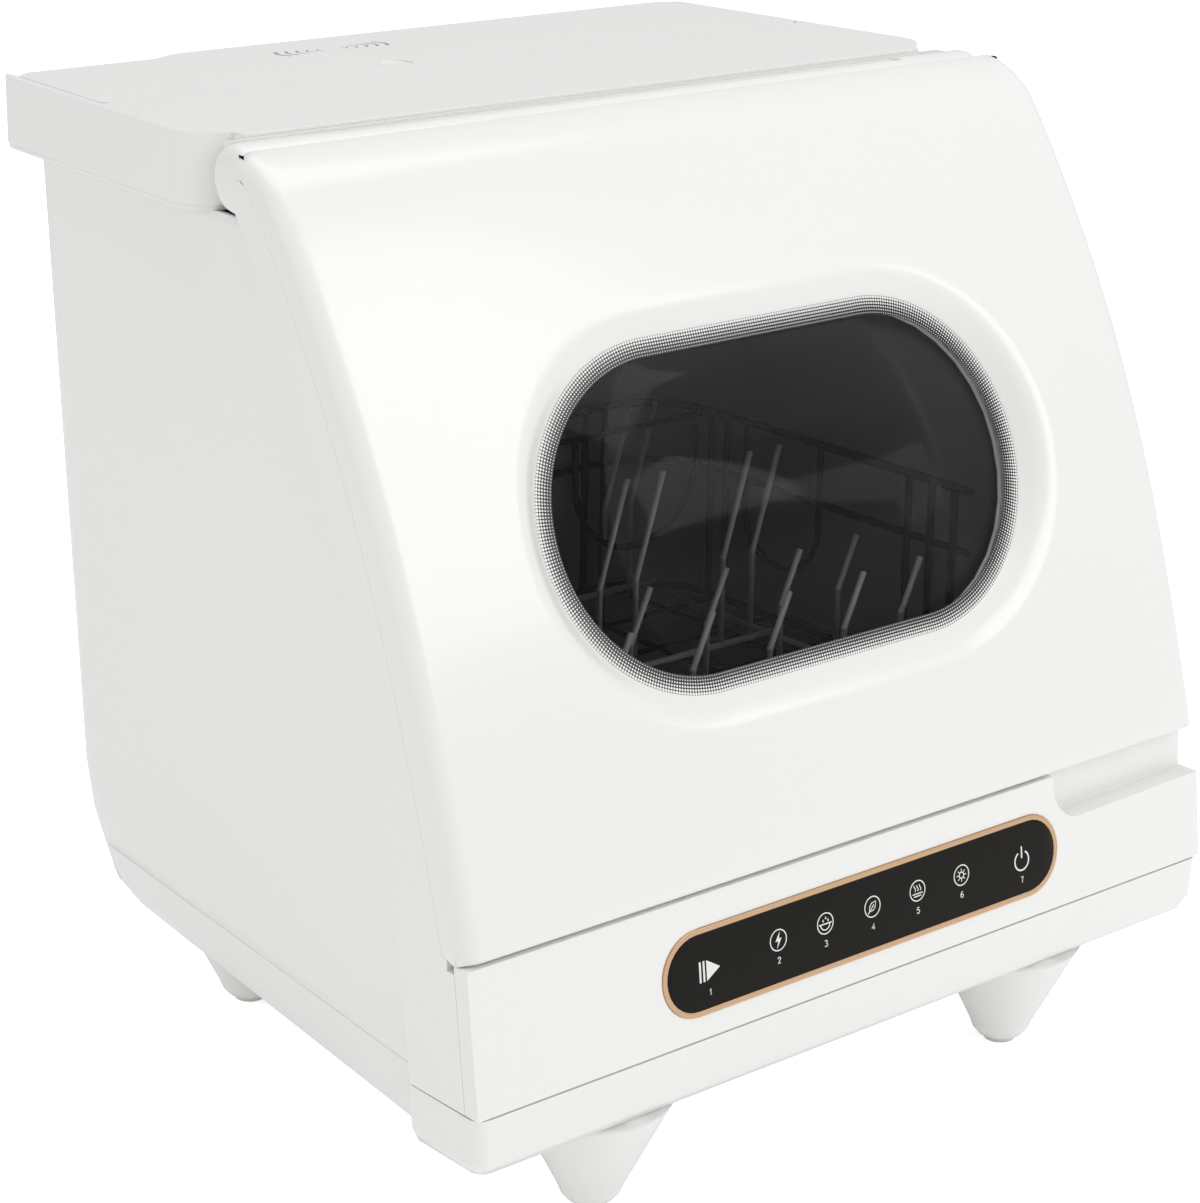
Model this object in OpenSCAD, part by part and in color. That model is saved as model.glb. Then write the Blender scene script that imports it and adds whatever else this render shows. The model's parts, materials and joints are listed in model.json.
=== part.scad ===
// Countertop dishwasher with a hood door, an oval window and four cone feet.
// Millimetres, +Z up, the door faces -Y, the feet stand on Z = 0.

/* [Overall] */
// Width across the front frame and the door
front_w = 419; // [380:1:460]
// Height from the worktop to the top of the cover
total_h = 426; // [400:1:460]
// Front face of the fascia at its lower edge, measured from the centre
front_y = 178.5; // [160:0.5:200]
// Rear edge of the tank lid, measured from the centre
rear_y = 178.5; // [160:0.5:200]

/* [Door] */
// Thickness of the door skin
skin_t = 3; // [2:0.5:5]
// Depth of the door seen from the side
door_t = 15.5; // [12:0.5:22]
// Height of the gap under the door
gap_z = 139; // [120:0.5:150]
// Radius of the hinge barrel
barrel_r = 14; // [10:0.5:16]
// Half length of the clear oval of the window
win_l = 124.4; // [90:0.2:140]
// Half height of the clear oval of the window
win_h = 64.8; // [40:0.2:75]
// Width of the dotted border on the glass
frit_w = 8; // [4:0.5:12]
// Depth of the glass under the door face
glass_depth = 8; // [4:0.5:12]

/* [Housing] */
// Wall of the casing, the cover and the base pan
wall = 3; // [2:0.5:5]
// Level of the seam above the front band
seam_z = 78.8; // [60:0.1:90]
// Underside of the base pan and the front band
pan_z = 50; // [40:1:60]
// Level of the lip under the top cover
lip_z = 397.2; // [380:0.1:405]
// Radius of the casing's rear corners
rear_r = 30; // [15:1:40]

/* [Control panel] */
// Half length of the control oval
pill_l = 114.7; // [90:0.1:130]
// Half height of the control oval
pill_h = 18.3; // [12:0.1:24]
// Width of the metal rim round the control oval
rim_w = 2.3; // [1:0.1:4]

/* [Chamber] */
// Half width of the wash chamber
tub_w = 174; // [150:1:180]
// Rear wall of the wash chamber
tub_y = 100; // [70:1:110]
// Floor of the wash chamber
tub_z = 141; // [130:1:150]
// Half width of the wire basket
basket_w = 125; // [110:1:150]
// Height of the basket's top rail
rail_z = 253; // [220:1:280]
// Radius of the basket wire
wire_r = 1.85; // [1:0.05:2.5]

/* [Feet] */
// Feet from the centre line
foot_x = 122; // [90:1:150]
// Front feet in front of the centre
foot_y = 142; // [110:1:160]
// Rear feet behind the centre
foot_rear_y = 104; // [80:1:130]

/* [Hidden] */
$fn = 64;
e = 0.01;

hx = front_w / 2;
hinge = [-14, 412];
door_bez = [[-172, gap_z + 1.6], [-138.3, 264.6], [-107.2, 333.1], [-55.5, 406.8]];
frame_bez = [[-135.8, seam_z], [-113.1, 223.2], [-99.3, 298.5], [-24.7, 405]];
top_r = 45;
top_a = 145;
top_c = [door_bez[3][0] - top_r * cos(top_a), door_bez[3][1] - top_r * sin(top_a)];
fascia_top = -171.2;
fascia_tilt = atan2(front_y + fascia_top, gap_z - seam_z);
win_t = 0.452;
pill_up = 28.6;
grille_y = 165;
fit_x = [40, 100, 142];
filler = [-35, 133];
beam_w = 203.5;

function bez(p, t) = pow(1 - t, 3) * p[0] + 3 * pow(1 - t, 2) * t * p[1] + 3 * (1 - t) * t * t * p[2] + pow(t, 3) * p[3];
function bez_d(p, t) = 3 * pow(1 - t, 2) * (p[1] - p[0]) + 6 * (1 - t) * t * (p[2] - p[1]) + 3 * t * t * (p[3] - p[2]);
function inward(d) = [d[1], -d[0]] / norm(d);
function rev(v) = [for (i = [len(v) - 1:-1:0]) v[i]];
// Door face from the gap up to the edge over the barrel, moved in by d
function face(d = 0, last = 98.8) = concat(
  [for (i = [0:20]) bez(door_bez, i / 20) + d * inward(bez_d(door_bez, i / 20))],
  [for (i = [1:8]) let (a = top_a + (last - top_a) * i / 8) top_c + (top_r - d) * [cos(a), sin(a)]]);
function moved(v, s) = [for (p = v) p + [s, 0]];
function below(v, z) = [for (p = v) if (p[1] <= z) p];
function above(v, z) = [for (p = v) if (p[1] >= z) p];
function face_y(z) = lookup(z, [for (p = face()) [p[1], p[0]]]);
function frame_y(z) = lookup(z, [for (p = frame_curve()) [p[1], p[0]]]);
function skin_y(z) = lookup(z, [for (p = face(skin_t)) [p[1], p[0]]]);
function frame_curve() = [for (i = [0:20]) bez(frame_bez, i / 20)];
win_c = bez(door_bez, win_t);
win_a = let (d = bez_d(door_bez, win_t)) atan2(d[0], d[1]);
// Stadium outline, half length l and half height h
function oval(l, h, n = 16) = concat(
  [for (i = [0:n]) let (a = -90 + 180 * i / n) [l - h + h * cos(a), h * sin(a)]],
  [for (i = [0:n]) let (a = 90 + 180 * i / n) [-(l - h) + h * cos(a), h * sin(a)]]);
function arc(c, r, a0, a1, n = 8) = [for (i = [0:n]) let (a = a0 + (a1 - a0) * i / n) c + r * [cos(a), sin(a)]];
function mirrored(v) = [for (p = rev(v)) [-p[0], p[1]]];
// Plan of the cover, inset by d: right half from the front middle round to the rear
function cover_half(d, front = 8) = concat([[0, front + d]],
  arc([184.5, front + 19], 19 - d, -90, -3), arc([181, rear_y - 12], 12 - min(d, 10), 3, 90, 6));
function cover_plan(d, front = 8) = concat(cover_half(d, front), mirrored(cover_half(d, front)));
function lid_half() = concat([[0, 90]], [[191.5, 90], [194.2, 92.7]], arc([178, rear_y - 10.5], 10.5, 3, 90, 6));
lid_plan = concat(lid_half(), [[-102, rear_y], [-118, 171.5], [-182, 171.5], [-188.5, 166]], [[-194.2, 92.7], [-191.5, 90]]);
// Outline of the casing at one level: e is the draft at the rear, f at the front
function casing_half(e, f, d = 0) = concat([[201 - f - d, -136]],
  arc([187.4 - rear_r - e, 172.5 - rear_r - e], rear_r - d, 2, 90, 7));
function casing_plan(e, f, d = 0) = concat(casing_half(e, f, d), mirrored(casing_half(e, f, d)));

module xprism(x0, x1) { translate([x0, 0, 0]) rotate([90, 0, 90]) linear_extrude(x1 - x0) children(); }
module yprism(y0, y1) { translate([0, y1, 0]) rotate([90, 0, 0]) linear_extrude(y1 - y0) children(); }
module zprism(z0, z1) { translate([0, 0, z0]) linear_extrude(z1 - z0) children(); }
module both() { children(); mirror([1, 0, 0]) children(); }
module rod_x(x0, x1, y, z, r) { translate([x0, y, z]) rotate([0, 90, 0]) cylinder(r = r, h = x1 - x0, $fn = 20); }
module rod_y(y0, y1, x, z, r) { translate([x, y0, z]) rotate([-90, 0, 0]) cylinder(r = r, h = y1 - y0, $fn = 20); }
module rod_z(z0, z1, x, y, r) { translate([x, y, z0]) cylinder(r = r, h = z1 - z0, $fn = 20); }
module at_window() { translate([0, win_c[0], win_c[1]]) rotate([90 - win_a, 0, 0]) children(); }
module at_fascia() { translate([0, -front_y, seam_z]) rotate([90 - fascia_tilt, 0, 0]) children(); }
module plate(v, z0, z1) { translate([0, 0, z0]) linear_extrude(z1 - z0) polygon(v); }
module ring(v, w, z0, z1) { difference() { plate(v, z0, z1); plate(w, z0 - 1, z1 + 1); } }
module at_hinge() { translate([0, hinge[0], hinge[1]]) rotate([0, 90, 0]) children(); }

// ---------- housing ----------
module casing_slices(d) {
  hull() {
    zprism(394.9, 395) polygon(casing_plan(0, 0, d));
    zprism(118, 118.1) polygon(casing_plan(6.5, 0, d));
    zprism(95, 95.1) polygon(casing_plan(8.5, 0, d));
    zprism(seam_z + 0.3, seam_z + 0.4) polygon(casing_plan(11.5, 0, d));
  }
}
module pan_slices(d, low) {
  hull() {
    zprism(seam_z - 0.1, seam_z) polygon(casing_plan(11.6, 0, d));
    zprism(62, 62.1) polygon(casing_plan(15 + d / 2, 1.5, d));
    zprism(low, low + 0.1) polygon(casing_plan(22 + d / 2, 6, d));
  }
}
module frame_front_zone() { xprism(-250, 250) polygon(concat([[-220, 60]], [[frame_bez[0][0], 60]], frame_curve(), [[-24.7, 440], [-220, 440]])); }
module casing() color([0.9, 0.9, 0.88]) difference() {
  casing_slices(0);
  casing_slices(wall);
  translate([-150, -140, 300]) cube([300, 10, 100]);
  zprism(390, 396) polygon(casing_plan(0, 0, wall));
  zprism(70, 84) polygon(casing_plan(11.5, 0, wall + 1));
  frame_front_zone();
  translate([-154, grille_y, 119.5]) cube([68, 20, 30]);
  translate([-148, 140, 125]) cube([56, 40, 19]);
  for (x = [-151, -89], z = [122.5, 146.5]) translate([x, 150, z]) rotate([-90, 0, 0]) cylinder(r = 1.25, h = 20);
  for (x = fit_x) translate([x, 140, 110]) rotate([-90, 0, 0]) cylinder(r = x == fit_x[2] ? 7 : 10, h = 40);
}
module rim_flange() color([0.93, 0.93, 0.91]) difference() {
  zprism(lip_z - 2.2, lip_z) polygon(cover_plan(0.6, 9));
  zprism(lip_z - 4, lip_z + 1) polygon(concat([[-176, 22], [176, 22]], arc([150, 138], 26, 0, 90, 6), arc([-150, 138], 26, 90, 180, 6)));
}
lid_pocket = [[-194.9, 89.6], [194.9, 89.6], [189, 168], [189, 190], [-189, 190], [-189, 168]];
module top_cover() color([0.93, 0.93, 0.91]) {
  difference() {
    union() {
      zprism(lip_z, total_h) polygon(cover_plan(0));
      translate([-186, 0.4, 414]) cube([372, 12, total_h - 414]);
    }
    zprism(lip_z - 1, total_h - wall) polygon(cover_plan(wall));
    zprism(total_h - wall - 1, total_h + 1) polygon(lid_pocket);
    translate([-189, 150, 408]) cube([378, 60, 40]);
  }
  difference() {
    zprism(total_h - 6.4, total_h - 3.6) polygon([[-193, 84], [193, 84], [188, 150], [-188, 150]]);
    translate([filler[0], filler[1], 400]) cylinder(r = 16, h = 40);
  }
  translate([-193, 84, total_h - 3.6]) cube([386, 5.6, 0.6]);
}
module base_pan() color([0.9, 0.9, 0.88]) difference() {
  pan_slices(0, pan_z);
  translate([0, 0, wall]) pan_slices(wall, pan_z);
  translate([-180, -140, pan_z + wall]) cube([360, 20, 60]);
  for (i = [-3:3]) translate([i * 16 - 60, 40, pan_z - 1]) cube([6, 50, wall + 2]);
}
module band_slice(z, d, k, rear = -136.1) {
  zprism(z, z + 0.1) polygon(concat(
    arc([hx - 6 - d, -front_y + 6 + d + k], 6, -90, 0, 6), [[hx - d, rear]], [[-hx + d, rear]], arc([-hx + 6 + d, -front_y + 6 + d + k], 6, 180, 270, 6)));
}
module front_band() color([0.95, 0.95, 0.94]) difference() {
  hull() { band_slice(seam_z - 0.5, 0, 0); band_slice(60, 0.6, 0); band_slice(53, 4, 0); band_slice(pan_z, 10, 0); }
  hull() { band_slice(seam_z + 3, wall + 0.5, 0, -120); band_slice(61, wall + 0.5, 0, -120); band_slice(pan_z + wall, 11, 1, -120); }
}
module fascia_2d(d = 0) { polygon([[-front_y + d, seam_z + 0.3], [fascia_top + d, gap_z - 0.4], [fascia_top + 8, gap_z - 0.4], [-front_y + 8, seam_z + 0.3]]); }
module grip_cut(d) yprism(-190, -100) polygon(concat([[hx + 5, gap_z + 5], [114 - d, gap_z + 5]], arc([131, 134], 17 + d, 180, 262, 6), [[hx + 5, 119 - d]]));
module fascia() color([0.95, 0.95, 0.94]) {
  difference() {
    union() {
      difference() {
        xprism(-hx, hx) fascia_2d();
        xprism(-hx + wall, hx - wall) fascia_2d(wall);
      }
      xprism(-hx + wall, hx - wall) polygon([[fascia_top, gap_z - 3.4], [fascia_top + 12, gap_z - 3.4], [fascia_top + 12, gap_z - 0.4], [fascia_top, gap_z - 0.4]]);
      intersection() {
        xprism(100, hx) polygon([[-175, 100], [fascia_top, gap_z - 0.4], [fascia_top + 14, gap_z - 0.4], [-161, 100]]);
        grip_cut(2.5);
        translate([100, -190, 110]) cube([hx - 100, 33, 50]);
      }
    }
    intersection() {
      grip_cut(0);
      xprism(90, hx + 6) polygon([[-190, 100], [-190, gap_z + 5], [fascia_top + 10.5, gap_z + 5], [fascia_top + 8.5, 119]]);
    }
    at_fascia() translate([0, pill_up, 0]) plate(oval(pill_l, pill_h), -1.5, 2);
  }
}
module side_frame() {
  low = below(moved(face(), door_t + 0.6), 414);
  jamb = below(moved(face(), door_t + 3.5), 408);
  difference() {
    union() {
      xprism(186, hx) polygon(concat([[-front_y + 8.2, seam_z + 0.3], [fascia_top + 8.2, gap_z - 0.4]], low, [[-29.6, 415.2]], [[-22, 408]], rev(frame_curve())));
      xprism(172, 186) polygon(concat([[-148, seam_z + 0.3]], [[-148, 139]], above(jamb, 141), [[-24, 408]], rev(frame_curve())));
    }
    translate([150, 0, 0]) at_hinge() cylinder(r = barrel_r, h = 80);
    translate([163, -44, 395]) cube([23, 64, 40]);
    translate([180, -200, gap_z - 3.6]) cube([40, 200 + fascia_top + 12.2, 20]);
  }
}
module side_frame_right() color([0.94, 0.94, 0.92]) difference() { side_frame(); translate([100, -200, 115.4]) cube([120, 43.2, 60]); }
module side_frame_left() color([0.94, 0.94, 0.92]) mirror([1, 0, 0]) side_frame();
module mouth_header() color([0.92, 0.92, 0.9]) difference() {
  xprism(-172, 172) polygon(concat(above(below(moved(face(), door_t + 3.5), 402), 383), [[-26, 402], [-14, 402], [-14, 395], [-31.5, 392]]));
  both() translate([163, -60, 397]) cube([10, 60, 40]);
  translate([-180, 0, 0]) at_hinge() cylinder(r = barrel_r, h = 360, $fn = 96);
}
module mouth_sill() color([0.92, 0.92, 0.9]) xprism(-172, 172) polygon([[-149, 134.5], [-149, 150], [-145, 152], [frame_y(152), 152], [frame_y(148), 148], [frame_y(142), 142], [frame_y(137), 137], [frame_y(135), 135]]);
module hinge_beam() color([0.93, 0.93, 0.91]) difference() {
  union() {
    at_hinge() rotate_extrude($fn = 96) polygon([[0, -beam_w], [barrel_r - 5, -beam_w], [barrel_r - 2, 1.2 - beam_w], [barrel_r - 0.5, 3.5 - beam_w], [barrel_r, 6 - beam_w],
      [barrel_r, beam_w - 6], [barrel_r - 0.5, beam_w - 3.5], [barrel_r - 2, beam_w - 1.2], [barrel_r - 5, beam_w], [0, beam_w]]);
    xprism(-196, 196) polygon([[-20, 404], [-20, 422], [-12, 424.6], [-0.4, 424.6], [-0.4, 406], [-6, 402]]);
  }
  both() translate([164.5, 0, 0]) { at_hinge() cylinder(r = 11.4, h = 21); xprism(0, 21) translate(hinge) polygon([[0, 0], [-24.1, 31.9], [-60, 0], [-50, -38.6], [-10.4, -38.6]]); }
  translate([-157.4, -17, 423.2]) cube([314.8, 9, 5]);
  both() { translate([120, 0, 0]) at_hinge() cylinder(r = 9, h = 45); translate([150, 0, 0]) at_hinge() cylinder(r = 4, h = 50); }
}
module beam_strip() color([0.9, 0.9, 0.88]) translate([-157, -17, 423.2]) cube([314, 8.6, 1.6]);
module hinge_pins() color([0.75, 0.75, 0.76]) both() translate([151.8, 0, 0]) at_hinge() cylinder(r = 4, h = 47.2);
module hinge_dampers() color([0.25, 0.25, 0.26]) both() translate([120, 0, 0]) at_hinge() cylinder(r = 9, h = 31.8);
module mouth_gasket() color([0.2, 0.2, 0.2]) {
  g = moved(face(), door_t + 0.7); k = moved(face(), door_t + 3.5);
  both() xprism(174, 182) polygon(concat(below(above(g, 150), 395), rev(below(above(k, 150), 395))));
  xprism(-148, 148) translate([-152, 138]) square([3, 9]);
}

// ---------- control panel ----------
module control_rim() color([0.76, 0.58, 0.46]) at_fascia() translate([0, pill_up, 0]) ring(oval(pill_l, pill_h), oval(pill_l - rim_w, pill_h - rim_w), -1.5, 0.6);
module control_lens() color([0.16, 0.15, 0.15]) at_fascia() translate([0, pill_up, 0]) plate(oval(pill_l - rim_w, pill_h - rim_w), -1.5, 0.4);
module touch_board() color([0.1, 0.35, 0.2]) at_fascia() translate([-106, 15, -4.6]) cube([212, 27, 1.6]);

// ---------- feet ----------
module foot() rotate_extrude() polygon([[0, 2], [7.4, 2], [10.2, 3.2], [12.6, 6], [14.4, 10.5], [34, pan_z], [0, pan_z]]);
module foot_front_left() color([0.93, 0.93, 0.91]) translate([-foot_x, -foot_y, 0]) foot();
module foot_front_right() color([0.93, 0.93, 0.91]) translate([foot_x, -foot_y, 0]) foot();
module foot_rear_left() color([0.93, 0.93, 0.91]) translate([-foot_x, foot_rear_y, 0]) foot();
module foot_rear_right() color([0.93, 0.93, 0.91]) translate([foot_x, foot_rear_y, 0]) foot();
module foot_pads() color([0.85, 0.85, 0.84]) for (x = [-foot_x, foot_x], y = [-foot_y, foot_rear_y]) translate([x, y, 0]) cylinder(r = 7, h = 2);

// ---------- door ----------
module door_2d() difference() {
  polygon(concat(face(), [[-25.5, 418]], rev(below(moved(face(), door_t), 416))));
  translate(hinge) circle(r = barrel_r + 0.7, $fn = 96);
}
module door_cavity_2d() polygon(concat([[skin_y(gap_z + 6), gap_z + 6]], above(face(skin_t, 112), gap_z + 6.5), [[-30, 417]], rev(above(below(moved(face(), door_t + 1), 416), gap_z + 6.5)), [[face_y(gap_z + 5) + door_t + 1, gap_z + 5]]));
module surround_block() at_window() hull() { plate(oval(157, 98), 5, 5.1); plate(oval(145, 86), -14, -13.9); }
module door_shell() color([0.96, 0.96, 0.95]) difference() {
  xprism(-hx, hx) door_2d();
  xprism(-hx + wall, hx - wall) door_cavity_2d();
  surround_block();
}
module window_surround() color([0.95, 0.95, 0.94]) difference() {
  intersection() { xprism(-180, 180) door_2d(); surround_block(); at_window() plate(oval(170, 110), -12, 6); }
  at_window() hull() { plate(oval(59 + 93.4, 93.4), 4, 4.1); plate(oval(win_l + frit_w + 1, win_h + frit_w + 1), -glass_depth, -glass_depth + 0.1); }
  at_window() plate(oval(win_l + frit_w + 1, win_h + frit_w + 1), -20, 0);
  at_window() plate(oval(140, 81), -20, -glass_depth);
}
module window_glass() color([0.12, 0.13, 0.14, 0.6]) at_window() plate(oval(137, 78), -glass_depth - 4, -glass_depth);
module window_border() color([0.2, 0.2, 0.2]) at_window() ring(oval(win_l + frit_w, win_h + frit_w), oval(win_l, win_h), -glass_depth, -glass_depth + 0.4);
module window_gasket() color([0.15, 0.15, 0.15]) at_window() ring(oval(140, 81), oval(137, 78), -glass_depth - 4, -glass_depth);
module window_clamp() color([0.85, 0.85, 0.84]) at_window() ring(oval(142, 83), oval(126, 67), -glass_depth - 6, -glass_depth - 4);
module door_liner() color([0.88, 0.88, 0.87]) difference() {
  xprism(-hx + wall, hx - wall) polygon(concat([[face_y(gap_z + 6) + door_t - 2, gap_z + 6]], below(above(moved(face(), door_t - 2), gap_z + 6.5), 412), rev(below(above(moved(face(), door_t), gap_z + 6.5), 412)), [[face_y(gap_z + 6) + door_t, gap_z + 6]]));
  surround_block();
  at_window() plate(oval(146, 87), -30, 10);
  both() translate([165.5, -60, 398]) cube([19, 60, 40]);
}
module hinge_arms() color([0.6, 0.6, 0.62]) both() difference() {
  union() {
    translate([166, 0, 0]) at_hinge() cylinder(r = 11, h = 18);
    xprism(166, 184) polygon(concat([[-16, 409], [-27.2, 407.5], [-38, 408.4]], rev([for (p = face(skin_t, 112)) if (p[1] > 402 && p[1] < 409) p]), [[skin_y(399) + 0.05, 399], [-22.5, 399], [-17, 402]]));
  }
  translate([150, 0, 0]) at_hinge() cylinder(r = 4.06, h = 50);
}
module door_magnets() color([0.3, 0.3, 0.32]) both() xprism(150, 176) translate([door_t, 0]) polygon([[face_y(147) - 5, 147], [face_y(158.5) - 5, 158.5], [face_y(158.5) - 2, 158.5], [face_y(147) - 2, 147]]);
module strike_plates() color([0.7, 0.7, 0.72]) both() translate([150, -151, 138.5]) cube([20, 2, 10]);

// ---------- wash chamber ----------
module tub() color([0.3, 0.31, 0.32]) {
  outer = concat([[frame_y(138), 138]], below(above(frame_curve(), 139), 390), [[frame_y(391), 391], [tub_y + 2.5, 391], [tub_y + 2.5, 138]]);
  difference() {
    xprism(-tub_w - 2.5, tub_w + 2.5) polygon(outer);
    xprism(-tub_w, tub_w) polygon([[-200, tub_z - 0.5], [tub_y, tub_z - 0.5], [tub_y, 388.5], [-200, 388.5]]);
    translate([125, 40, 130]) cylinder(r = 38, h = 30);
    translate([-40, -10, 130]) cylinder(r = 5, h = 30);
    translate([-150, tub_y - 1, 330]) for (i = [0:4]) translate([i * 14, 0, 0]) cube([7, 6, 30]);
  }
}
module lower_hub() color([0.5, 0.5, 0.52]) translate([-40, -10, 0]) difference() {
  union() { translate([0, 0, tub_z - 0.5]) cylinder(r = 9, h = 5.5); translate([0, 0, 120]) cylinder(r = 5, h = 21); translate([0, 0, 146]) cylinder(r = 4, h = 4.7); }
  translate([0, 0, 119]) cylinder(r = 2.4, h = 40);
}
module arm_shape(r, w) union() { circle(r = 14); polygon([[-r, -w * 0.35], [0, -w], [r, -w * 0.35], [r, w * 0.35], [0, w], [-r, w * 0.35]]); }
module spray(r, w) difference() {
  linear_extrude(6) arm_shape(r, w);
  translate([0, 0, -1]) cylinder(r = 4.06, h = 5.5);
  for (k = [-0.88, -0.67, -0.46, 0.34, 0.58, 0.81]) translate([k * r, 0, -1]) cylinder(r = 1.3, h = 8, $fn = 20);
}
module lower_spray_arm() color([0.42, 0.43, 0.45]) translate([-40, -10, 146.5]) spray(104, 11);
module upper_hub() color([0.5, 0.5, 0.52]) translate([0, 19, 0]) union() { translate([0, 0, 380]) cylinder(r = 9, h = 8.5); translate([0, 0, 375.3]) cylinder(r = 4, h = 5); }
module upper_spray_arm() color([0.42, 0.43, 0.45]) translate([0, 19, 379.5]) mirror([0, 0, 1]) spray(75, 10);

// Wire rail in plan, reaching wx each way from the middle line, bent at the rear and, where it closes, at the front
module rail(wx, y0, y1, z, r, closed, c = 36, f = 5) translate([basket_x, 0, 0]) {
  rod_x(-wx + c, wx - c, y1, z, r);
  for (x = [-wx, wx]) rod_y(closed ? y0 + f : y0, y1 - c, x, z, r);
  for (k = [[wx - c, 0], [-wx + c, 90]])
    translate([k[0], y1 - c, z]) rotate([0, 0, k[1]]) rotate_extrude(angle = 90) translate([c, 0]) circle(r = r, $fn = 20);
  if (closed) {
    rod_x(-wx + f, wx - f, y0, z, r);
    for (k = [[-wx + f, 180], [wx - f, 270]])
      translate([k[0], y0 + f, z]) rotate([0, 0, k[1]]) rotate_extrude(angle = 90) translate([f, 0]) circle(r = r, $fn = 20);
  }
}
// U bow hanging in the XZ plane, legs up to the rail
module bow(r, w, leg) {
  rotate([-90, 0, 0]) rotate_extrude(angle = 180) translate([r, 0]) circle(r = w, $fn = 20);
  for (x = [-r, r]) translate([x, 0, 0]) cylinder(r = w, h = leg, $fn = 20);
}
basket_x = -9;
basket_y0 = -112;
basket_y1 = 93;
floor_z = 162;
rail_r = wire_r + 0.3;
// Inner planes that the welded wires stand against
in_x = basket_w - rail_r;
in_y0 = basket_y0 + rail_r;
in_y1 = basket_y1 - rail_r;
weld = 0.03;
module basket_rails() color([0.06, 0.06, 0.06]) {
  rail(basket_w, basket_y0, basket_y1, rail_z, rail_r, false);
  rail(in_x + wire_r, basket_y0, in_y1 + wire_r, rail_z - 28, wire_r, false);
  rail(in_x + wire_r, in_y0 - wire_r, in_y1 + wire_r, floor_z, wire_r, true);
}
// Uprights, floor wires and hanging bows, each a wire of its own
module basket_wires() color([0.06, 0.06, 0.06]) {
  g = wire_r + weld;
  for (x = [-92, -34, 16, 64, 76]) rod_z(abs(x + 8) == 84 ? tub_z - 0.2 : floor_z - 1, rail_z + 1, x, in_y1 - g, wire_r);
  for (x = [basket_x - in_x + g, basket_x + in_x - g]) rod_z(tub_z - 0.2, rail_z + 1, x, -78, wire_r);
  for (y = [-106, -92, 42, 53], x = [basket_x - in_x + g, basket_x + in_x - g]) rod_z(floor_z - 1, rail_z + 1, x, y, wire_r);
  q = 1.4; z = floor_z - wire_r - q - weld;
  for (x = [-110, -70, -30, 10, 50, 90]) rod_y(in_y0 - 1, in_y1 + 1, x, z, q);
  for (y = [-72, -30, 12, 50]) rod_x(basket_x - in_x + weld, basket_x + in_x - weld, y, z + 2 * q + weld, q);
  for (x = [basket_x - in_x + 1.6 + weld, basket_x + in_x - 1.6 - weld]) translate([x, 4, 214]) rotate([0, 0, 90]) bow(25, 1.6, rail_z + 1 - 214);
  rod_x(basket_x - in_x + 3.4, basket_x + in_x - 3.4, 60, rail_z - 1, 1.6);
  for (x = [-92, 68]) translate([x, 60 - 3.2 - weld, 232]) bow(37, 1.6, rail_z + 1 - 232);
}
rack_z = floor_z + 5.8;
tine_rows = [-98, -58];
tall_rows = [-16, 74];
module plate_rack() color([0.5, 0.51, 0.52]) {
  for (y = concat(tine_rows, tall_rows)) rod_x(-114, 96, y, rack_z, 1.5);
  for (x = [-111, 93]) rod_y(-101, 77, x, rack_z - 2.9 - weld, 1.4);
}
// Tine that stands up h1 and then leans to the side over length h2
module tine(x, y, h1, h2, lean) {
  z = rack_z + 1.5 + weld;
  translate([x, y, z]) cylinder(r = 1.35, h = h1, $fn = 20);
  translate([x, y, z + h1]) { sphere(r = 1.55, $fn = 20); rotate([0, lean, 0]) cylinder(r = 1.35, h = h2, $fn = 20); }
}
module plate_tines() color([0.5, 0.51, 0.52]) {
  for (y = tine_rows, x = [-78, -33, 11, 55, 90]) tine(x, y, 30, 26, 24);
  for (x = [-100, -66, -15, 6, 58, 76]) tine(x, tall_rows[0], 40, 50, 17);
  for (x = [-84, -40, 20, 64, 80]) tine(x, tall_rows[1], 40, 50, 17);
}

// ---------- water circuit ----------
module sump() color([0.3, 0.31, 0.32]) translate([125, 40, 0]) difference() {
  translate([0, 0, 100]) cylinder(r = 41, h = 38);
  translate([0, 0, 103]) cylinder(r = 38, h = 40);
  translate([-60, 0, 108.4]) rotate([0, 90, 0]) cylinder(r = 5, h = 30);
  translate([-25, 20, 110]) rotate([-90, 0, 0]) cylinder(r = 6, h = 30);
}
module filter_cup() color([0.45, 0.46, 0.48]) translate([125, 40, 0]) {
  difference() {
    union() { translate([0, 0, 114]) cylinder(r = 22, h = 27); translate([0, 0, tub_z - 0.2]) cylinder(r = 39.5, h = 2); }
    translate([0, 0, 116]) cylinder(r = 20, h = 40);
  }
  translate([-21, -2, tub_z + 0.2]) cube([42, 4, 3]);
}
module heater() color([0.7, 0.7, 0.72]) translate([125, 40, 106]) rotate_extrude() translate([31, 0]) circle(r = 3, $fn = 24);
module wash_pump() color([0.25, 0.25, 0.27]) translate([30, -30, 0]) difference() {
  union() { translate([0, 0, 92]) cylinder(r = 34, h = 22); translate([0, 0, pan_z + wall]) cylinder(r = 28, h = 40); }
  translate([0, 0, 94.5]) cylinder(r = 30, h = 17);
  translate([0, 0, 80]) cylinder(r = 3.06, h = 20);
  translate([0, 0, 108]) cylinder(r = 7, h = 10);
}
module pump_impeller() color([0.8, 0.8, 0.8]) translate([30, -30, 0]) {
  translate([0, 0, 82]) cylinder(r = 3, h = 26);
  translate([0, 0, 96]) cylinder(r = 24, h = 2.5);
  for (a = [0:60:300]) rotate([0, 0, a]) translate([6, -1, 98]) cube([17, 2, 9]);
  translate([0, 0, 98]) cylinder(r = 7, h = 10);
}
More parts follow.
